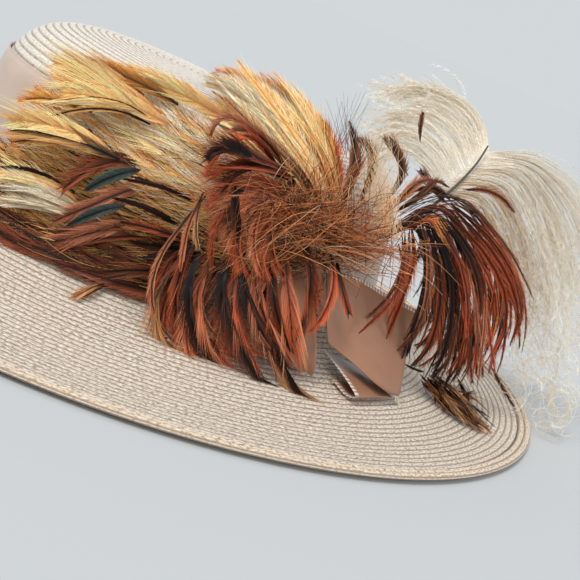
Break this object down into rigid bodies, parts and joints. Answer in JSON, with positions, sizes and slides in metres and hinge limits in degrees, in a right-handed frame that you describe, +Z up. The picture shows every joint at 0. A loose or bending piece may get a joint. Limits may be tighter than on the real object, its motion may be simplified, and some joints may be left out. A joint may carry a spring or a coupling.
{
  "type": "straw hat",
  "caption": "Wide-brimmed straw hat of sewn braid, trimmed on the wearer's left with a satin bow, hackle feathers and an ostrich plume.",
  "frame": {"origin": "centre of the whole hat's bounding box, at the surface that the brim rests on", "axes": "+Z up, -Y the wearer's front, +X the wearer's left, which is the trimmed side"},
  "size_m": [0.4028, 0.4554, 0.1399],
  "materials": {
    "straw": "pale natural straw braid, slightly glossy, sewn in overlapping rows",
    "edge_straw": "doubled pale golden straw braid with close stitches",
    "satin": "soft rose-beige satin ribbon with a woven selvedge",
    "golden_feather": "golden hackle feathers with dark centres",
    "quill": "dark grey bare horn quill",
    "brown_feather": "fine brown and amber barbs",
    "amber_feather": "gold and amber hackle feathers",
    "rust_feather": "rust hackle feathers with charcoal centres",
    "ostrich": "cream ostrich barbs, fluffy"
  },
  "bodies": {
    "root": {"crown": "straw", "brim": "straw", "brim_edge": "edge_straw", "hat_band": "satin", "bow_loop_front": "satin", "bow_loop_back": "satin", "bow_loop_under": "satin", "bow_knot": "satin", "hackle_pad": "golden_feather", "plume_quill": "quill", "filament_burst": "brown_feather", "gold_spray": "amber_feather", "rust_spray_front": "rust_feather", "rust_spray_back": "rust_feather", "ostrich_plume_top": "ostrich", "ostrich_plume_fall": "ostrich", "brim_tuft": "brown_feather"}
  },
  "joints": []
}
